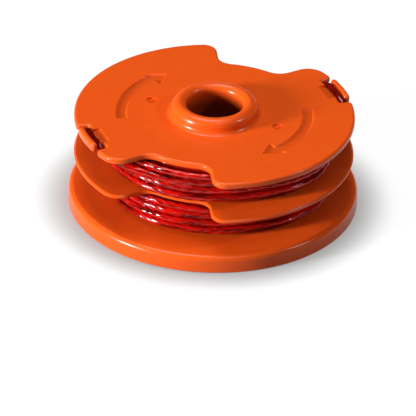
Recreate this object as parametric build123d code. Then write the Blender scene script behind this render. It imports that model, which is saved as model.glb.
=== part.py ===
from build123d import *
from math import cos, degrees, radians, sin
import os

# Spool of trimmer line: one moulded body with two line channels, and a hank of line in each.
# The axis of the spool is Z, the base rim rests on Z = 0, and all sizes are in millimetres.

# Line and channels
LINE_DIAMETER = 1.65
CHANNEL_HEIGHT = 8.0
DRUM_RADIUS = 13.5

# Base flange: a full disc with a skirt round its rim
BASE_RADIUS = 33.0
BASE_HEIGHT = 4.2
BASE_EDGE_RADIUS = 1.2
BASE_FOOT_CHAMFER = 0.3

# Middle and top flanges
MIDDLE_RADIUS = 31.9
MIDDLE_THICKNESS = 1.0
MIDDLE_EDGE_CHAMFER = 0.35
TOP_RADIUS = 32.0
TOP_THICKNESS = 1.6
TOP_EDGE_RADIUS = 0.6

# Wall of the moulding on its hidden side
WALL = 1.6
WEB_THICKNESS = 1.2
WEB_COUNT = 6
HUB_LIFT = 0.8
LUG_COUNT = 8
LUG_INNER_RADIUS = 15.5
LUG_OUTER_RADIUS = 20.0
LUG_ANGLE = 14.0
LUG_HEIGHT = 1.8

# Boss round the spindle bore
BORE_RADIUS = 6.5
BOSS_RADIUS = 9.9
BOSS_HEIGHT = 3.3
BOSS_CROWN_RADIUS = 1.8
BOSS_ROOT_RADIUS = 1.2
BORE_LIP_RADIUS = 1.5

# Line notch in the middle and top flanges, one on each side of the axis
SIDES = 2
NOTCH_FLOOR_RADIUS = 23.45
NOTCH_STEEP_RIM_ANGLE = 90.2
NOTCH_STEEP_FLOOR_ANGLE = 87.8
NOTCH_SOFT_FLOOR_ANGLE = 52.2
NOTCH_SOFT_RIM_ANGLE = 46.2
STEEP_ROOT_RADIUS = 3.4
STEEP_TIP_RADIUS = 3.2
SOFT_ROOT_RADIUS = 4.0
SOFT_TIP_RADIUS = 4.5

# Line cleat: a tab on a thin neck, between two slits in the rim of the top flange
CLEAT_ANGLE = 23.3
CLEAT_TAB_LENGTH = 8.8
CLEAT_TAB_WIDTH = 1.4
CLEAT_TAB_RISE = 0.5
CLEAT_SLOT_WIDTH = 1.5
CLEAT_SLIT_WIDTH = 1.5
CLEAT_END_SHARE = 0.48
CLEAT_LIP_RADIUS = 0.9
CLEAT_ROOT_RADIUS = 0.6
CLEAT_NECK_WIDTH = 4.4
CLEAT_NECK_THICKNESS = 0.8
CLEAT_RAMP_LENGTH = 2.2
CLEAT_RISE_LENGTH = 0.9

# Sunk arrow that shows which way to wind
ARROW_RADIUS = 21.3
ARROW_WIDTH = 2.0
ARROW_TAIL_ANGLE = 187.9
ARROW_NECK_ANGLE = 133.5
ARROW_TIP_ANGLE = 123.1
ARROW_HEAD_RADIUS = 20.9
ARROW_HEAD_WIDTH = 4.8
ARROW_DEPTH = 0.35
ARROW_DRAFT_ANGLE = 40.0

# Dimple that the moulding gate leaves
GATE_RADIUS_FROM_AXIS = 15.35
GATE_ANGLE = 159.5
GATE_RADIUS = 1.25
GATE_DEPTH = 0.3
GATE_NUB_RADIUS = 0.4
GATE_NUB_HEIGHT = 0.2

# Hanks of line
WIND_CLEARANCE = 0.1
LOWER_WIND_RADIUS = 24.6
UPPER_WIND_RADIUS = 25.4
WIND_CREST_SHARE = 0.45
WIND_GROOVE_SHARE = 0.3

# Levels and radii that follow from the sizes above
BASE_TOP = BASE_HEIGHT
MIDDLE_BOTTOM = BASE_TOP + CHANNEL_HEIGHT
MIDDLE_TOP = MIDDLE_BOTTOM + MIDDLE_THICKNESS
TOP_BOTTOM = MIDDLE_TOP + CHANNEL_HEIGHT
TOP_TOP = TOP_BOTTOM + TOP_THICKNESS
BOSS_TOP = TOP_TOP + BOSS_HEIGHT
CLEAT_TAB_INNER = TOP_RADIUS - CLEAT_TAB_WIDTH
CLEAT_SLOT_INNER = CLEAT_TAB_INNER - CLEAT_SLOT_WIDTH
CLEAT_END_RADIUS = CLEAT_TAB_WIDTH * CLEAT_END_SHARE
SIDE_TURNS = [360 / SIDES * side for side in range(SIDES)]
BEYOND = BASE_RADIUS


def polar(radius, angle):
    """Point in plan at a radius from the axis and an angle in degrees."""
    return Vector(radius * cos(radians(angle)), radius * sin(radians(angle)), 0)


def on_each_side(shape):
    """The shape and its copies, spaced evenly about the axis."""
    return [Rot(0, 0, turn) * shape for turn in SIDE_TURNS]


def ring_sector(inner, outer, start, end):
    """Flat piece of a ring between two radii and two angles."""
    middle = (start + end) / 2
    outline = Wire([
        Line(polar(inner, start), polar(outer, start)),
        ThreePointArc(polar(outer, start), polar(outer, middle), polar(outer, end)),
        Line(polar(outer, end), polar(inner, end)),
        ThreePointArc(polar(inner, end), polar(inner, middle), polar(inner, start)),
    ])
    return make_face(outline)


def notch_cutter(rim_radius):
    """Flat outline of one line notch, run out past the rim."""
    floor_middle = (NOTCH_STEEP_FLOOR_ANGLE + NOTCH_SOFT_FLOOR_ANGLE) / 2
    rim_middle = (NOTCH_STEEP_RIM_ANGLE + NOTCH_SOFT_RIM_ANGLE) / 2
    steep_rim = polar(rim_radius, NOTCH_STEEP_RIM_ANGLE)
    soft_rim = polar(rim_radius, NOTCH_SOFT_RIM_ANGLE)
    steep_floor = polar(NOTCH_FLOOR_RADIUS, NOTCH_STEEP_FLOOR_ANGLE)
    soft_floor = polar(NOTCH_FLOOR_RADIUS, NOTCH_SOFT_FLOOR_ANGLE)
    steep_out = polar(rim_radius + BEYOND, NOTCH_STEEP_RIM_ANGLE)
    soft_out = polar(rim_radius + BEYOND, NOTCH_SOFT_RIM_ANGLE)
    outline = Wire([
        Line(steep_out, steep_rim),
        Line(steep_rim, steep_floor),
        ThreePointArc(steep_floor, polar(NOTCH_FLOOR_RADIUS, floor_middle), soft_floor),
        Line(soft_floor, soft_rim),
        Line(soft_rim, soft_out),
        ThreePointArc(soft_out, polar(rim_radius + BEYOND, rim_middle), steep_out),
    ])
    return make_face(outline)


def notch_corners(radius, turn):
    """Corners of one notch in a flange, each with its rounding."""
    return [
        (polar(NOTCH_FLOOR_RADIUS, NOTCH_STEEP_FLOOR_ANGLE + turn), STEEP_ROOT_RADIUS),
        (polar(radius, NOTCH_STEEP_RIM_ANGLE + turn), STEEP_TIP_RADIUS),
        (polar(NOTCH_FLOOR_RADIUS, NOTCH_SOFT_FLOOR_ANGLE + turn), SOFT_ROOT_RADIUS),
        (polar(radius, NOTCH_SOFT_RIM_ANGLE + turn), SOFT_TIP_RADIUS),
    ]


def cleat_angles(way):
    """Angles of the neck's side, the tab's end and the far wall of the slit, on one side of a cleat."""
    half_tab = CLEAT_TAB_LENGTH / 2
    lengths = (CLEAT_NECK_WIDTH / 2, half_tab, half_tab + CLEAT_SLIT_WIDTH)
    return [CLEAT_ANGLE + way * degrees(length / TOP_RADIUS) for length in lengths]


def cleat_opening(way):
    """Flat outline of the slot behind one arm of a cleat's tab and the slit that lets line into it."""
    neck, end, far = cleat_angles(way)
    slot = ring_sector(CLEAT_SLOT_INNER, CLEAT_TAB_INNER, neck, far)
    slit = ring_sector(CLEAT_SLOT_INNER, TOP_RADIUS + BEYOND, end, far)
    return slot + slit


def cleat_corners(way, turn):
    """Corners round one arm of a cleat, each with its rounding."""
    neck, end, far = [angle + turn for angle in cleat_angles(way)]
    return [
        (polar(TOP_RADIUS, end), CLEAT_END_RADIUS),
        (polar(CLEAT_TAB_INNER, end), CLEAT_END_RADIUS),
        (polar(TOP_RADIUS, far), CLEAT_LIP_RADIUS),
        (polar(CLEAT_SLOT_INNER, far), CLEAT_ROOT_RADIUS),
        (polar(CLEAT_SLOT_INNER, neck), CLEAT_ROOT_RADIUS),
        (polar(CLEAT_TAB_INNER, neck), CLEAT_ROOT_RADIUS),
    ]


def plate_with_corners(face, corners, thickness, bottom):
    """Plate from a flat outline with its corners rounded."""
    for point, radius in corners:
        face = fillet(face.vertices().sort_by_distance(point)[0], radius)
    return Pos(0, 0, bottom) * extrude(face, thickness)


def rim_edges(plate):
    """Edges round the upper and lower faces of a plate."""
    faces = plate.faces().sort_by(Axis.Z)
    return faces[0].edges() + faces[-1].edges()


def middle_flange():
    """Thin disc between the two channels, with a line notch on each side."""
    face = Circle(MIDDLE_RADIUS) - on_each_side(notch_cutter(MIDDLE_RADIUS))
    corners = []
    for turn in SIDE_TURNS:
        corners += notch_corners(MIDDLE_RADIUS, turn)
    plate = plate_with_corners(face, corners, MIDDLE_THICKNESS, MIDDLE_BOTTOM)
    return chamfer(rim_edges(plate), MIDDLE_EDGE_CHAMFER)


def top_flange():
    """Disc over the upper channel, with a line notch and a line cleat on each side."""
    face = Circle(TOP_RADIUS) - on_each_side(notch_cutter(TOP_RADIUS))
    corners = []
    for turn in SIDE_TURNS:
        corners += notch_corners(TOP_RADIUS, turn)
    for way in (-1, 1):
        face -= on_each_side(cleat_opening(way))
        for turn in SIDE_TURNS:
            corners += cleat_corners(way, turn)
    plate = plate_with_corners(face, corners, TOP_THICKNESS, TOP_BOTTOM)
    return fillet(rim_edges(plate), TOP_EDGE_RADIUS)


def cleat_tab():
    """Tab of a cleat, which stands a little above the flange."""
    start, end = [cleat_angles(way)[1] for way in (-1, 1)]
    corners = []
    for angle in (start, end):
        corners += [(polar(radius, angle), CLEAT_END_RADIUS) for radius in (CLEAT_TAB_INNER, TOP_RADIUS)]
    face = ring_sector(CLEAT_TAB_INNER, TOP_RADIUS, start, end)
    plate = plate_with_corners(face, corners, TOP_THICKNESS + CLEAT_TAB_RISE, TOP_BOTTOM)
    return fillet(rim_edges(plate), TOP_EDGE_RADIUS)


def base_flange():
    """Full disc with a rounded upper edge."""
    disc = Cylinder(BASE_RADIUS, BASE_HEIGHT, align=(Align.CENTER, Align.CENTER, Align.MIN))
    disc = fillet(disc.edges().sort_by(Axis.Z)[-1], BASE_EDGE_RADIUS)
    return chamfer(disc.edges().sort_by(Axis.Z)[0], BASE_FOOT_CHAMFER)


def upright_cylinder(radius, bottom, top):
    """Round bar about the axis between two levels."""
    bar = Cylinder(radius, top - bottom, align=(Align.CENTER, Align.CENTER, Align.MIN))
    return Pos(0, 0, bottom) * bar


def boss():
    """Domed collar that stands on the top flange, with a soft root."""
    foot = (BOSS_RADIUS + BOSS_ROOT_RADIUS, TOP_TOP)
    wall_bottom = (BOSS_RADIUS, TOP_TOP + BOSS_ROOT_RADIUS)
    wall_top = (BOSS_RADIUS, BOSS_TOP - BOSS_CROWN_RADIUS)
    crown = (BOSS_RADIUS - BOSS_CROWN_RADIUS, BOSS_TOP)
    outline = Wire([
        Line((0, TOP_TOP), foot),
        TangentArc(foot, wall_bottom, tangent=(-1, 0)),
        Line(wall_bottom, wall_top),
        TangentArc(wall_top, crown, tangent=(0, 1)),
        Line(crown, (0, BOSS_TOP)),
        Line((0, BOSS_TOP), (0, TOP_TOP)),
    ])
    return revolve(Plane.XZ * make_face(outline), Axis.Z)


def bore_cutter():
    """Spindle bore through the whole hub, with a rolled lip at the top of the boss."""
    wall_top = (BORE_RADIUS, BOSS_TOP - BORE_LIP_RADIUS)
    lip = (BORE_RADIUS + BORE_LIP_RADIUS, BOSS_TOP)
    outline = Wire([
        Line((0, -BEYOND), (BORE_RADIUS, -BEYOND)),
        Line((BORE_RADIUS, -BEYOND), wall_top),
        TangentArc(wall_top, lip, tangent=(0, 1)),
        Line(lip, (0, BOSS_TOP)),
        Line((0, BOSS_TOP), (0, -BEYOND)),
    ])
    return revolve(Plane.XZ * make_face(outline), Axis.Z)


def hub_pockets():
    """Spaces between the bore tube and the drum wall, open below and parted by webs."""
    ring = upright_cylinder(DRUM_RADIUS - WALL, -BEYOND, TOP_BOTTOM)
    ring -= upright_cylinder(BORE_RADIUS + WALL, -BEYOND, TOP_BOTTOM)
    web = Pos(DRUM_RADIUS / 2, 0, BASE_TOP - WALL) * Box(
        DRUM_RADIUS, WEB_THICKNESS, TOP_BOTTOM, align=(Align.CENTER, Align.CENTER, Align.MIN)
    )
    return ring - [Rot(0, 0, 360 / WEB_COUNT * index) * web for index in range(WEB_COUNT)]


def base_recess():
    """Dished underside of the base flange inside the skirt, with the bore tube set a little higher."""
    depth = BASE_HEIGHT - WALL
    dish = upright_cylinder(BASE_RADIUS - WALL, -BEYOND, depth)
    dish -= upright_cylinder(DRUM_RADIUS, -BEYOND, depth)
    return [dish, upright_cylinder(DRUM_RADIUS, -BEYOND, HUB_LIFT)]


def feed_lugs():
    """Ring of short lugs under the base flange that index the spool as line is fed."""
    sector = ring_sector(LUG_INNER_RADIUS, LUG_OUTER_RADIUS, -LUG_ANGLE / 2, LUG_ANGLE / 2)
    lug = Pos(0, 0, BASE_HEIGHT - WALL - LUG_HEIGHT) * extrude(sector, LUG_HEIGHT)
    return [Rot(0, 0, 360 / LUG_COUNT * index) * lug for index in range(LUG_COUNT)]


def arrow_cutter():
    """Curved arrow sunk into the top flange."""
    inner = ARROW_RADIUS - ARROW_WIDTH / 2
    outer = ARROW_RADIUS + ARROW_WIDTH / 2
    shaft = ring_sector(inner, outer, ARROW_NECK_ANGLE, ARROW_TAIL_ANGLE)
    head = make_face(Polyline(
        polar(ARROW_HEAD_RADIUS - ARROW_HEAD_WIDTH / 2, ARROW_NECK_ANGLE),
        polar(ARROW_HEAD_RADIUS + ARROW_HEAD_WIDTH / 2, ARROW_NECK_ANGLE),
        polar(ARROW_HEAD_RADIUS, ARROW_TIP_ANGLE),
        close=True,
    ))
    return Pos(0, 0, TOP_TOP - ARROW_DEPTH) * extrude(shaft + head, ARROW_DEPTH, taper=-ARROW_DRAFT_ANGLE)


def gate_cutter():
    """Round dimple with the stub of the gate left standing in it."""
    floor = TOP_TOP - GATE_DEPTH
    dimple = upright_cylinder(GATE_RADIUS, floor, BOSS_TOP)
    nub = upright_cylinder(GATE_NUB_RADIUS, floor, floor + GATE_NUB_HEIGHT)
    return Location(polar(GATE_RADIUS_FROM_AXIS, GATE_ANGLE)) * (dimple - nub)


def cleat_groove():
    """Groove across a cleat's neck: a ramp down from the flange and a short rise to the tab."""
    neck_top = TOP_BOTTOM + CLEAT_NECK_THICKNESS
    profile = make_face(Polyline(
        (CLEAT_SLOT_INNER - CLEAT_RAMP_LENGTH, TOP_TOP),
        (CLEAT_TAB_INNER, TOP_TOP),
        (CLEAT_TAB_INNER - CLEAT_RISE_LENGTH, neck_top),
        (CLEAT_SLOT_INNER, neck_top),
        close=True,
    ))
    length = CLEAT_NECK_WIDTH + CLEAT_SLOT_WIDTH
    return Rot(0, 0, CLEAT_ANGLE) * extrude(Plane.XZ * profile, length / 2, both=True)


def spool_body():
    """The whole orange moulding."""
    body = base_flange() + upright_cylinder(DRUM_RADIUS, 0, TOP_BOTTOM)
    body += middle_flange()
    body += top_flange()
    body += boss()
    body -= base_recess()
    body -= hub_pockets()
    body -= bore_cutter()
    body += feed_lugs()
    for cutter in (arrow_cutter(), gate_cutter(), cleat_groove()):
        body -= on_each_side(cutter)
    body += on_each_side(cleat_tab())
    return body


def line_winding(bottom, crest_radius):
    """Hank of line on the drum: the outer turns lie side by side and show as ridges."""
    height = CHANNEL_HEIGHT - WIND_CLEARANCE
    turns = int(height / LINE_DIAMETER)
    pitch = height / turns
    groove = crest_radius - LINE_DIAMETER * WIND_GROOVE_SHARE
    points = [(DRUM_RADIUS + WIND_CLEARANCE, bottom), (groove, bottom)]
    for turn in range(turns):
        middle = bottom + pitch * (turn + 0.5)
        points.append((crest_radius, middle - pitch * WIND_CREST_SHARE / 2))
        points.append((crest_radius, middle + pitch * WIND_CREST_SHARE / 2))
        points.append((groove, bottom + pitch * (turn + 1)))
    points.append((DRUM_RADIUS + WIND_CLEARANCE, bottom + height))
    return revolve(Plane.XZ * make_face(Polyline(*points, close=True)), Axis.Z)


nodes = {
    "spool_body": spool_body(),
    "lower_line_winding": line_winding(BASE_TOP, LOWER_WIND_RADIUS),
    "upper_line_winding": line_winding(MIDDLE_TOP, UPPER_WIND_RADIUS),
}

os.makedirs("parts", exist_ok=True)
for name, solid in nodes.items():
    solid.label = name
    export_step(solid, "parts/" + name + ".step")
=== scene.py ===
import bmesh
import bpy
from math import cos, pi, radians, sin
from mathutils import Matrix, Vector


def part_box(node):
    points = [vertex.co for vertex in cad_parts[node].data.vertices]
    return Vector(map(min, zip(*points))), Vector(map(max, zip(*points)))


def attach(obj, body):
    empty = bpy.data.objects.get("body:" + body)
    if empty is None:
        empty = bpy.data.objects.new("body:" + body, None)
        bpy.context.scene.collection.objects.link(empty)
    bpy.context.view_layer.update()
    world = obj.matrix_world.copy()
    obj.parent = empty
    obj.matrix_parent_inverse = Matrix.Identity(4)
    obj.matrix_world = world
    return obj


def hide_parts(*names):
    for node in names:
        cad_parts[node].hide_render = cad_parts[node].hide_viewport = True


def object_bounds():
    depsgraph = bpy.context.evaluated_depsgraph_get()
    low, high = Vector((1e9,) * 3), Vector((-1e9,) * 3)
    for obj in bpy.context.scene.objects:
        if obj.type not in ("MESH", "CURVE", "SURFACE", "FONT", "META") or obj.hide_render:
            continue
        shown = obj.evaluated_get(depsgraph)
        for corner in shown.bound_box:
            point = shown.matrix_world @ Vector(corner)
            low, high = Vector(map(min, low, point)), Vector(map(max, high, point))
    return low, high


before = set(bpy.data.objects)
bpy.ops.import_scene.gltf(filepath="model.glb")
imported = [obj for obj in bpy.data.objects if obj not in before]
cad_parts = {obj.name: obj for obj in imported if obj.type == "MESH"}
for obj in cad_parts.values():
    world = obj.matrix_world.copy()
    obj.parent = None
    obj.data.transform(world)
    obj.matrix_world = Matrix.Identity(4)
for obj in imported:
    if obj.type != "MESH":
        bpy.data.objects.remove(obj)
cad_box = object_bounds()

# The spool: one injection moulding in opaque orange plastic, from the skirted base flange up to the boss
# round the spindle bore. A polished tool leaves a soft gloss on it, and the thick spots sink a little as
# they cool.
ORANGE = (0.79, 0.095, 0.008)
ORANGE_DEEP = (0.74, 0.08, 0.006)
ORANGE_ROUGHNESS = (0.22, 0.29)
ORANGE_IOR = 1.5
ORANGE_SHEEN = 0.27
MOTTLE_SIZE = 0.004
MOTTLE_DETAIL = 3.0
MOTTLE_FLATNESS = 1.0
SINK_SIZE = 0.012
SINK_DETAIL = 1.0
SINK_DEPTH = 0.00004
# Painted shade: the arrow floors below the top flange are darkened in the colour.
RECESS_TOP = 0.0227
RECESS_FLOOR = 0.0225
RECESS_LOWEST = 0.0223
RECESS_INNER = 0.0175
RECESS_SHADE = 0.87
RECESS_LEVEL = 0.97
# Painted shade: the spindle bore's wall is darkened further in.
BORE_EDGE = (0.006565, 0.00702)
BORE_LIP = 0.0256
BORE_DEEP = 0.021
BORE_SHADE = 0.25


def add_node(tree, kind, inputs=None, **settings):
    """Node of a tree with its settings, and with values or links on its inputs."""
    made = tree.nodes.new(kind)
    for name, value in settings.items():
        setattr(made, name, value)
    for name, value in (inputs or {}).items():
        if isinstance(value, bpy.types.NodeSocket):
            tree.links.new(value, made.inputs[name])
        else:
            made.inputs[name].default_value = value
    return made


def reckon(tree, operation, *values):
    """Socket that holds the result of one step of arithmetic on numbers or sockets."""
    return add_node(tree, "ShaderNodeMath", dict(enumerate(values)), operation=operation).outputs[0]


def surface_mottle_group():
    """Slow unevenness of a plastic skin: a mask for colour and gloss, and a height for its dips."""
    group = bpy.data.node_groups.new("surface_mottle", "ShaderNodeTree")
    for name in ("Mottle Size", "Sink Size", "Flatness"):
        group.interface.new_socket(name, in_out="INPUT", socket_type="NodeSocketFloat")
    for name in ("Mottle", "Height"):
        group.interface.new_socket(name, in_out="OUTPUT", socket_type="NodeSocketFloat")
    given = add_node(group, "NodeGroupInput").outputs
    spot = add_node(group, "ShaderNodeTexCoord").outputs["Object"]
    squeeze = add_node(group, "ShaderNodeCombineXYZ", {
        "X": 1.0, "Y": 1.0, "Z": given["Flatness"],
    }).outputs[0]
    place = add_node(group, "ShaderNodeVectorMath", {0: spot, 1: squeeze}, operation="MULTIPLY").outputs[0]
    fine = reckon(group, "DIVIDE", 1.0, given["Mottle Size"])
    broad = reckon(group, "DIVIDE", 1.0, given["Sink Size"])
    mottle = add_node(group, "ShaderNodeTexNoise", {"Vector": place, "Scale": fine, "Detail": MOTTLE_DETAIL})
    sink = add_node(group, "ShaderNodeTexNoise", {"Vector": place, "Scale": broad, "Detail": SINK_DETAIL})
    results = {"Mottle": mottle.outputs["Fac"], "Height": sink.outputs["Fac"]}
    add_node(group, "NodeGroupOutput", results)
    return group


surface_mottle = surface_mottle_group()


def new_material(name):
    """Empty node material and its tree, ready for a shader."""
    made = bpy.data.materials.new(name)
    made.use_nodes = True
    made.node_tree.nodes.clear()
    return made, made.node_tree


def mix_colours(tree, share, low, high):
    """Colour between two, by a share that changes over the surface."""
    mixed = add_node(tree, "ShaderNodeMix", {0: share}, data_type="RGBA")
    mixed.inputs[6].default_value = (*low, 1)
    mixed.inputs[7].default_value = (*high, 1)
    return mixed.outputs[2]


def darken(tree, share, colour, shade):
    """Colour that goes down to a shade of itself, by a share that changes over the surface."""
    darker = add_node(tree, "ShaderNodeMix", {0: share}, data_type="RGBA", blend_type="MULTIPLY")
    tree.links.new(colour, darker.inputs[6])
    darker.inputs[7].default_value = (shade, shade, shade, 1)
    return darker.outputs[2]


def height_and_radius(tree):
    """Height of a spot above the foot, and its distance from the spool's axis."""
    spot = add_node(tree, "ShaderNodeTexCoord").outputs["Object"]
    part = add_node(tree, "ShaderNodeSeparateXYZ", {0: spot}).outputs
    flat = add_node(tree, "ShaderNodeCombineXYZ", {"X": part[0], "Y": part[1]}).outputs[0]
    return part[2], add_node(tree, "ShaderNodeVectorMath", {0: flat}, operation="LENGTH").outputs["Value"]


def painted_bore_shade(tree):
    """Mask of the spindle bore's wall, where shade is painted into the colour, darker further in."""
    height, from_axis = height_and_radius(tree)
    within = add_node(tree, "ShaderNodeMapRange", {
        "Value": from_axis, "From Min": BORE_EDGE[1], "From Max": BORE_EDGE[0],
    }).outputs[0]
    deep = add_node(tree, "ShaderNodeMapRange", {
        "Value": height, "From Min": BORE_LIP, "From Max": BORE_DEEP,
    }, interpolation_type="SMOOTHSTEP").outputs[0]
    return reckon(tree, "MULTIPLY", within, deep)


def painted_recess_shade(tree):
    """Mask of the flat floors of the arrows, which lie a little below the top flange, where shade is painted
    into the colour.
    """
    spot = add_node(tree, "ShaderNodeTexCoord").outputs
    height, from_axis = height_and_radius(tree)
    level = add_node(tree, "ShaderNodeSeparateXYZ", {0: spot["Normal"]}).outputs[2]
    sunk = add_node(tree, "ShaderNodeMapRange", {
        "Value": height, "From Min": RECESS_TOP, "From Max": RECESS_FLOOR,
    }).outputs[0]
    sunk = reckon(tree, "MULTIPLY", sunk, reckon(tree, "GREATER_THAN", height, RECESS_LOWEST))
    sunk = reckon(tree, "MULTIPLY", sunk, reckon(tree, "GREATER_THAN", from_axis, RECESS_INNER))
    return reckon(tree, "MULTIPLY", sunk, reckon(tree, "GREATER_THAN", level, RECESS_LEVEL))


def orange_moulding():
    """Opaque orange plastic with a soft gloss that varies a little over the surface."""
    material, tree = new_material("orange_moulding")
    skin = add_node(tree, "ShaderNodeGroup", node_tree=surface_mottle)
    skin.inputs["Mottle Size"].default_value = MOTTLE_SIZE
    skin.inputs["Sink Size"].default_value = SINK_SIZE
    skin.inputs["Flatness"].default_value = MOTTLE_FLATNESS
    low, high = ORANGE_ROUGHNESS
    gloss = add_node(tree, "ShaderNodeMapRange", {
        "Value": skin.outputs["Mottle"], "To Min": low, "To Max": high,
    })
    dips = add_node(tree, "ShaderNodeBump", {"Height": skin.outputs["Height"], "Distance": SINK_DEPTH})
    polished = mix_colours(tree, skin.outputs["Mottle"], ORANGE_DEEP, ORANGE)
    # Painted shade: the colour is darkened in the arrow floors and down the spindle bore.
    with_painted_recess_shade = darken(tree, painted_recess_shade(tree), polished, RECESS_SHADE)
    shader = add_node(tree, "ShaderNodeBsdfPrincipled", {
        "Base Color": darken(tree, painted_bore_shade(tree), with_painted_recess_shade, BORE_SHADE),
        "Roughness": gloss.outputs[0],
        "Normal": dips.outputs[0],
        "IOR": ORANGE_IOR,
        "Specular IOR Level": ORANGE_SHEEN,
    })
    add_node(tree, "ShaderNodeOutputMaterial", {"Surface": shader.outputs[0]})
    return material


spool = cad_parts["spool_body"]
spool.data.materials.clear()
spool.data.materials.append(orange_moulding())

# The two hanks of line: clear red nylon, drawn square in section and twisted as it cools, then wound on
# the drum in layers, one hank in each channel. The outer layer of each has gone slack on one side, and its
# end comes up through a notch and is pinched in a cleat of the top flange.
LINE_DIAMETER = 0.00165
TWIST_PITCH = 0.012
SECTION_LOBES = 4
LOBE_DEPTH = 0.16
SECTION_POINTS = 16
POINTS_PER_TURN = 200
TURNS_PER_LAYER = 3.4
LAYERS = 8
START_ANGLE = radians(172)
STEP_OUT_FROM = 0.8
LOOSENESS = 0.0005
WANDER_RATE = 2.3
SLACK_TURNS = 3.0
SLACK_SHARPNESS = 8.0
DRUM_RADIUS = 0.0136
POINT_SPACING = 0.0008
RIGHT_CLEAT = radians(23.3)
LEFT_CLEAT = radians(203.3)
LOWER_END_ROUTE = [
    (64, 0.0234, 0.009), (52, 0.0245, 0.0105), (42, 0.0258, 0.013),
    (32, 0.0270, 0.0165), (22, 0.0282, 0.0193),
]
UPPER_END_ROUTE = [
    (62, 0.0234, 0.0170), (50, 0.0245, 0.0178), (38, 0.0254, 0.0186),
    (28, 0.0267, 0.0193), (20, 0.0280, 0.0198),
]
CLEAT_ROUTE = [
    (15, 0.0289, 0.0202), (11.5, 0.0297, 0.0206), (9.8, 0.02985, 0.0214), (7.5, 0.02985, 0.0221),
    (4, 0.02985, 0.0224), (0, 0.02985, 0.0224), (-4, 0.02985, 0.0224), (-7.5, 0.02985, 0.0221),
    (-9.8, 0.03, 0.0215), (-11, 0.0303, 0.0209),
]
LINE_RED = (0.95, 0.012, 0.006)
LINE_RED_DEEP = (0.1, 0.002, 0.001)
LINE_ROUGHNESS = 0.05
LINE_IOR = 1.53
LINE_SHEEN = 0.12
LINE_CLEARNESS = 0.58
STREAK_LENGTH = 0.008
STREAK_FLATNESS = 14.0
STREAK_EDGES = (0.34, 0.56)
SKIN_DIP_SIZE = 0.004
SKIN_DIP_DEPTH = 0.00003
# Painted shade on the end of the line that lies in the cleat.
TUCKED_FROM = 0.0212
TUCKED_FULL = 0.0218
TUCKED_SHADE = 0.3


def sweep_line(tree, given, path):
    """Line drawn along a path: a lobed section that twists as it goes."""
    path = add_node(tree, "GeometryNodeSetCurveNormal", {"Curve": path}, mode="Z_UP").outputs[0]
    along = add_node(tree, "GeometryNodeSplineParameter").outputs["Length"]
    twist = reckon(tree, "MULTIPLY", reckon(tree, "DIVIDE", along, given["Twist Pitch"]), 2 * pi)
    path = add_node(tree, "GeometryNodeSetCurveTilt", {"Curve": path, "Tilt": twist}).outputs[0]
    half = reckon(tree, "DIVIDE", given["Line Diameter"], 2.0)
    ring = add_node(
        tree, "GeometryNodeCurvePrimitiveCircle", {"Resolution": given["Section Points"], "Radius": half}
    ).outputs[0]
    index = add_node(tree, "GeometryNodeInputIndex").outputs[0]
    round_share = reckon(tree, "DIVIDE", index, given["Section Points"])
    phase = reckon(tree, "MULTIPLY", reckon(tree, "MULTIPLY", round_share, 2 * pi), given["Lobes"])
    dip = reckon(tree, "MULTIPLY_ADD", reckon(tree, "COSINE", phase), 0.5, -0.5)
    scale = reckon(tree, "MULTIPLY_ADD", dip, given["Lobe Depth"], 1.0)
    spot = add_node(tree, "GeometryNodeInputPosition").outputs[0]
    drawn = add_node(tree, "ShaderNodeVectorMath", {0: spot, "Scale": scale}, operation="SCALE").outputs[0]
    section = add_node(tree, "GeometryNodeSetPosition", {"Geometry": ring, "Position": drawn}).outputs[0]
    strand = add_node(
        tree, "GeometryNodeCurveToMesh", {"Curve": path, "Profile Curve": section, "Fill Caps": True}
    ).outputs[0]
    strand = add_node(tree, "GeometryNodeSetShadeSmooth", {0: strand}).outputs[0]
    strand = add_node(tree, "GeometryNodeRealizeInstances", {0: strand}).outputs[0]
    painted = add_node(tree, "GeometryNodeSetMaterial", {0: strand, "Material": given["Line Material"]})
    return painted.outputs[0]


def tucked_end_tree():
    """Twisted line along the points of a route."""
    tree = bpy.data.node_groups.new("tucked_end", "GeometryNodeTree")
    tree.interface.new_socket("Route", in_out="INPUT", socket_type="NodeSocketGeometry")
    for name in ("Line Diameter", "Twist Pitch", "Lobes", "Lobe Depth", "Point Spacing"):
        tree.interface.new_socket(name, in_out="INPUT", socket_type="NodeSocketFloat")
    tree.interface.new_socket("Section Points", in_out="INPUT", socket_type="NodeSocketInt")
    tree.interface.new_socket("Line Material", in_out="INPUT", socket_type="NodeSocketMaterial")
    tree.interface.new_socket("Geometry", in_out="OUTPUT", socket_type="NodeSocketGeometry")
    given = add_node(tree, "NodeGroupInput").outputs
    path = add_node(tree, "GeometryNodeMeshToCurve", {0: given["Route"]}).outputs[0]
    path = add_node(tree, "GeometryNodeCurveSplineType", {0: path}, spline_type="CATMULL_ROM").outputs[0]
    path = add_node(
        tree, "GeometryNodeResampleCurve", {"Curve": path, "Length": given["Point Spacing"]}, mode="LENGTH"
    ).outputs[0]
    add_node(tree, "NodeGroupOutput", {0: sweep_line(tree, given, path)})
    return tree


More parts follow.
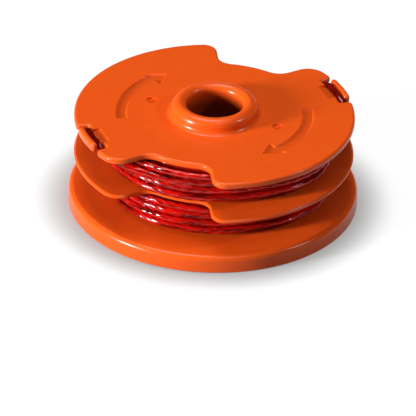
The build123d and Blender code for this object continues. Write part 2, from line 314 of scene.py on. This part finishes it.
def wound_line_tree():
    """Twisted line wound in layers on a drum, each layer running back over the one below."""
    tree = bpy.data.node_groups.new("wound_line", "GeometryNodeTree")
    numbers = (
        "Inner Radius", "Layer Step", "Layers", "Turns per Layer", "Bottom", "Rise", "Line Diameter",
        "Twist Pitch", "Lobes", "Lobe Depth", "Looseness", "Slack", "Slack Angle", "Slack Turns",
        "Start Angle", "Seed",
    )
    for name in numbers:
        tree.interface.new_socket(name, in_out="INPUT", socket_type="NodeSocketFloat")
    for name in ("Points per Turn", "Section Points"):
        tree.interface.new_socket(name, in_out="INPUT", socket_type="NodeSocketInt")
    tree.interface.new_socket("Line Material", in_out="INPUT", socket_type="NodeSocketMaterial")
    tree.interface.new_socket("Geometry", in_out="OUTPUT", socket_type="NodeSocketGeometry")
    given = add_node(tree, "NodeGroupInput").outputs
    index = add_node(tree, "GeometryNodeInputIndex").outputs[0]

    # Path of the line
    all_turns = reckon(tree, "MULTIPLY", given["Layers"], given["Turns per Layer"])
    count = reckon(tree, "MULTIPLY", all_turns, given["Points per Turn"])
    straight = add_node(tree, "GeometryNodeCurvePrimitiveLine").outputs[0]
    path = add_node(
        tree, "GeometryNodeResampleCurve", {"Curve": straight, "Count": count}, mode="COUNT"
    ).outputs[0]
    turn = reckon(tree, "DIVIDE", index, given["Points per Turn"])
    angle = reckon(tree, "MULTIPLY_ADD", turn, -2 * pi, given["Start Angle"])
    layers_done = reckon(tree, "DIVIDE", turn, given["Turns per Layer"])
    layer = reckon(tree, "FLOOR", layers_done)
    within = reckon(tree, "FRACT", layers_done)
    downward = reckon(tree, "MODULO", layer, 2.0)
    flip = reckon(tree, "MULTIPLY", downward, reckon(tree, "MULTIPLY_ADD", within, -2.0, 1.0))
    climbed = reckon(tree, "ADD", within, flip)
    step_out = add_node(tree, "ShaderNodeMapRange", {
        "Value": within, "From Min": STEP_OUT_FROM,
    }, interpolation_type="SMOOTHSTEP").outputs[0]
    wander_at = reckon(tree, "MULTIPLY_ADD", turn, WANDER_RATE, given["Seed"])
    wander = add_node(tree, "ShaderNodeTexNoise", {"W": wander_at, "Scale": 1.0}, noise_dimensions="1D")
    sway = add_node(tree, "FunctionNodeSeparateColor", {0: wander.outputs["Color"]}).outputs
    loose_out = reckon(tree, "MULTIPLY", given["Looseness"], reckon(tree, "SUBTRACT", sway[0], 0.5))
    loose_up = reckon(tree, "MULTIPLY", given["Looseness"], reckon(tree, "SUBTRACT", sway[1], 0.5))
    slack_from = reckon(tree, "SUBTRACT", all_turns, given["Slack Turns"])
    in_slack = reckon(tree, "GREATER_THAN", turn, slack_from)
    facing = reckon(tree, "COSINE", reckon(tree, "SUBTRACT", angle, given["Slack Angle"]))
    bulge = reckon(tree, "POWER", reckon(tree, "MAXIMUM", facing, 0.0), SLACK_SHARPNESS)
    slack = reckon(tree, "MULTIPLY", reckon(tree, "MULTIPLY", bulge, in_slack), given["Slack"])
    outermost = reckon(tree, "SUBTRACT", given["Layers"], 1.0)
    level = reckon(tree, "MINIMUM", reckon(tree, "ADD", layer, step_out), outermost)
    stacked = reckon(tree, "MULTIPLY_ADD", level, given["Layer Step"], given["Inner Radius"])
    radius = reckon(tree, "ADD", reckon(tree, "ADD", stacked, loose_out), slack)
    wound_up = reckon(tree, "MULTIPLY_ADD", climbed, given["Rise"], given["Bottom"])
    height = reckon(tree, "ADD", wound_up, loose_up)
    place = add_node(tree, "ShaderNodeCombineXYZ", {
        "X": reckon(tree, "MULTIPLY", radius, reckon(tree, "COSINE", angle)),
        "Y": reckon(tree, "MULTIPLY", radius, reckon(tree, "SINE", angle)),
        "Z": height,
    }).outputs[0]
    path = add_node(tree, "GeometryNodeSetPosition", {"Geometry": path, "Position": place}).outputs[0]
    strand = sweep_line(tree, given, path)
    add_node(tree, "NodeGroupOutput", {0: strand})
    return tree


def red_line():
    """Clear red nylon: light goes part of the way through, and the drawn skin is shiny."""
    material, tree = new_material("red_line_nylon")
    skin = add_node(tree, "ShaderNodeGroup", node_tree=surface_mottle)
    skin.inputs["Mottle Size"].default_value = STREAK_LENGTH
    skin.inputs["Sink Size"].default_value = SKIN_DIP_SIZE
    skin.inputs["Flatness"].default_value = STREAK_FLATNESS
    clear = add_node(tree, "ShaderNodeMapRange", {
        "Value": skin.outputs["Mottle"], "From Min": STREAK_EDGES[0], "From Max": STREAK_EDGES[1],
    }).outputs[0]
    dips = add_node(tree, "ShaderNodeBump", {"Height": skin.outputs["Height"], "Distance": SKIN_DIP_DEPTH})
    # Painted shade: above the flange top, the line's end in the cleat is darkened in the colour.
    tucked = add_node(tree, "ShaderNodeMapRange", {
        "Value": height_and_radius(tree)[0], "From Min": TUCKED_FROM, "From Max": TUCKED_FULL,
    }).outputs[0]
    drawn = mix_colours(tree, clear, LINE_RED_DEEP, LINE_RED)
    shader = add_node(tree, "ShaderNodeBsdfPrincipled", {
        "Base Color": darken(tree, tucked, drawn, TUCKED_SHADE),
        "Roughness": LINE_ROUGHNESS,
        "Normal": dips.outputs[0],
        "IOR": LINE_IOR,
        "Specular IOR Level": LINE_SHEEN,
        "Transmission Weight": LINE_CLEARNESS,
    })
    add_node(tree, "ShaderNodeOutputMaterial", {"Surface": shader.outputs[0]})
    return material


wound_line = wound_line_tree()
tucked_end = tucked_end_tree()
line_material = red_line()


def made_by(name, tree, sizes, points=()):
    """Plain mesh that a tree makes from its sizes, and from a route of points where it needs one."""
    route = bpy.data.meshes.new(name)
    route.from_pydata(points, [(start, start + 1) for start in range(len(points) - 1)], [])
    holder = bpy.data.objects.new(name, route)
    bpy.context.scene.collection.objects.link(holder)
    work = holder.modifiers.new(tree.name, "NODES")
    work.node_group = tree
    for socket in tree.interface.items_tree:
        if socket.in_out == "INPUT" and socket.name in sizes:
            work[socket.identifier] = sizes[socket.name]
    evaluated = holder.evaluated_get(bpy.context.evaluated_depsgraph_get())
    finished = bpy.data.meshes.new_from_object(evaluated)
    bpy.data.objects.remove(holder)
    return finished


def wind_hank(name, node, seed, slack, slack_angle, cleat_angle, end_route):
    """Hank in the room of its solid; its end runs by degrees from the cleat, radius and height."""
    low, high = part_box(node)
    inner = DRUM_RADIUS + LINE_DIAMETER / 2
    outer = high.x - LINE_DIAMETER / 2
    sizes = {
        "Inner Radius": inner,
        "Layer Step": (outer - inner) / (LAYERS - 1),
        "Layers": float(LAYERS),
        "Turns per Layer": TURNS_PER_LAYER,
        "Bottom": low.z + LINE_DIAMETER / 2,
        "Rise": high.z - low.z - LINE_DIAMETER,
        "Line Diameter": LINE_DIAMETER,
        "Twist Pitch": TWIST_PITCH,
        "Lobes": float(SECTION_LOBES),
        "Lobe Depth": LOBE_DEPTH,
        "Looseness": LOOSENESS,
        "Slack": slack,
        "Slack Angle": slack_angle,
        "Slack Turns": SLACK_TURNS,
        "Start Angle": START_ANGLE,
        "Seed": float(seed),
        "Points per Turn": POINTS_PER_TURN,
        "Section Points": SECTION_POINTS,
        "Point Spacing": POINT_SPACING,
        "Line Material": line_material,
    }
    points = []
    for turned, radius, height in end_route + CLEAT_ROUTE:
        angle = cleat_angle + radians(turned)
        points.append((radius * cos(angle), radius * sin(angle), height))
    wound = bmesh.new()
    wound.from_mesh(made_by("turns", wound_line, sizes))
    wound.from_mesh(made_by("end", tucked_end, sizes, points))
    mesh = bpy.data.meshes.new(name)
    wound.to_mesh(mesh)
    wound.free()
    mesh.materials.append(line_material)
    hank = bpy.data.objects.new(name, mesh)
    bpy.context.scene.collection.objects.link(hank)
    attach(hank, "root")
    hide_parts(node)


wind_hank(
    "lower_line", "lower_line_winding", seed=3, slack=0.0028, slack_angle=radians(-24),
    cleat_angle=RIGHT_CLEAT, end_route=LOWER_END_ROUTE,
)
wind_hank(
    "upper_line", "upper_line_winding", seed=11, slack=0.0027, slack_angle=radians(-28),
    cleat_angle=LEFT_CLEAT, end_route=UPPER_END_ROUTE,
)

# The floor: a plain white table top of matt board, on which the spool stands. It shows white at a distance;
# close round the foot its white lift fades, a painted shadow over the real soft shadow.
FLOOR_SIZE = 6.0
FLOOR_GREY = (0.18, 0.18, 0.18)
FLOOR_LIFT = 0.85
LIFT_FROM = 0.032
LIFT_FULL = 0.043
PAINTED_SHADOW_LIFT = 0.32


def white_table():
    """Matt surface that is seen as white and throws little light back, with a painted shadow round the foot.
    """
    material, tree = new_material("white_table")
    ray = add_node(tree, "ShaderNodeLightPath").outputs
    seen = reckon(tree, "MAXIMUM", ray["Is Camera Ray"], ray["Is Glossy Ray"])
    seen = reckon(tree, "MAXIMUM", seen, ray["Is Transmission Ray"])
    matt = add_node(tree, "ShaderNodeBsdfDiffuse", {"Color": (*FLOOR_GREY, 1)}).outputs[0]
    spot = add_node(tree, "ShaderNodeTexCoord").outputs["Object"]
    away = add_node(tree, "ShaderNodeVectorMath", {0: spot}, operation="LENGTH").outputs["Value"]
    # Painted shadow: the lift fades towards the foot, so the floor is darker close round the spool.
    clear = add_node(tree, "ShaderNodeMapRange", {
        "Value": away, "From Min": LIFT_FROM, "From Max": LIFT_FULL,
        "To Min": PAINTED_SHADOW_LIFT, "To Max": FLOOR_LIFT,
    }, interpolation_type="SMOOTHSTEP").outputs[0]
    shown = reckon(tree, "MULTIPLY", seen, clear)
    lift = add_node(tree, "ShaderNodeEmission", {"Strength": shown}).outputs[0]
    both = add_node(tree, "ShaderNodeAddShader", {0: matt, 1: lift}).outputs[0]
    add_node(tree, "ShaderNodeOutputMaterial", {"Surface": both})
    return material


floor_mesh = bpy.data.meshes.new("floor")
reach = FLOOR_SIZE / 2
floor_corners = [(-reach, -reach, 0), (reach, -reach, 0), (reach, reach, 0), (-reach, reach, 0)]
floor_mesh.from_pydata(floor_corners, [], [(0, 1, 2, 3)])
floor_mesh.materials.append(white_table())
floor = bpy.data.objects.new("floor", floor_mesh)
bpy.context.scene.collection.objects.link(floor)

# The light: a dim room with four soft boxes. The main one stands low at the left, a wide one hangs overhead,
# a weak one high in front reaches the lower flanges, and a small one at the right puts glints on the rims.
ROOM_LIGHT = 0.02
SPOOL_MIDDLE = Vector((0, 0, (cad_box[0].z + cad_box[1].z) / 2))

room = bpy.data.worlds.new("room")
room.use_nodes = True
room.node_tree.nodes["Background"].inputs["Color"].default_value = (1, 1, 1, 1)
room.node_tree.nodes["Background"].inputs["Strength"].default_value = ROOM_LIGHT
bpy.context.scene.world = room


def soft_box(name, azimuth, rise, distance, width, height, level):
    """Rectangular lamp that faces the spool, with the light level it gives there."""
    lamp = bpy.data.lights.new(name, "AREA")
    lamp.shape = "RECTANGLE"
    lamp.size = width
    lamp.size_y = height
    lamp.energy = level * pi ** 2 * distance ** 2
    holder = bpy.data.objects.new(name, lamp)
    outward = Vector((cos(azimuth) * cos(rise), sin(azimuth) * cos(rise), sin(rise)))
    holder.location = SPOOL_MIDDLE + outward * distance
    holder.rotation_euler = outward.to_track_quat("Z", "Y").to_euler()
    holder.visible_camera = False
    bpy.context.scene.collection.objects.link(holder)


soft_box("key_light", radians(-155), radians(12), distance=0.9, width=0.15, height=0.2, level=1.85)
soft_box("top_light", radians(125), radians(76), distance=1.1, width=0.6, height=0.6, level=0.6)
soft_box("front_light", radians(-70), radians(64), distance=1.0, width=0.3, height=0.3, level=0.1)
soft_box("right_light", radians(-13), radians(35), distance=0.9, width=0.07, height=0.07, level=0.22)

# The camera: a long lens on a stand, about thirty degrees above the table and almost straight in front of
# the spool. It is rolled by a little over a degree.
CAMERA_LENS = 946.2
CAMERA_DISTANCE = 2.5
CAMERA_RISE = radians(30.506)
CAMERA_DIP = radians(30.551)
CAMERA_YAW = radians(-0.0266)
CAMERA_ROLL = radians(1.326)
CAMERA_REACH = 100

camera = bpy.data.objects.new("camera", bpy.data.cameras.new("camera"))
camera.data.lens = CAMERA_LENS
camera.data.clip_end = CAMERA_REACH
stand = Matrix.Translation((0, -CAMERA_DISTANCE * cos(CAMERA_RISE), CAMERA_DISTANCE * sin(CAMERA_RISE)))
aim = Matrix.Rotation(-CAMERA_YAW, 4, "Z") @ Matrix.Rotation(pi / 2 - CAMERA_DIP, 4, "X")
camera.matrix_world = stand @ aim @ Matrix.Rotation(CAMERA_ROLL, 4, "Z")
bpy.context.scene.collection.objects.link(camera)
bpy.context.scene.camera = camera
bpy.context.scene.view_settings.view_transform = "Standard"
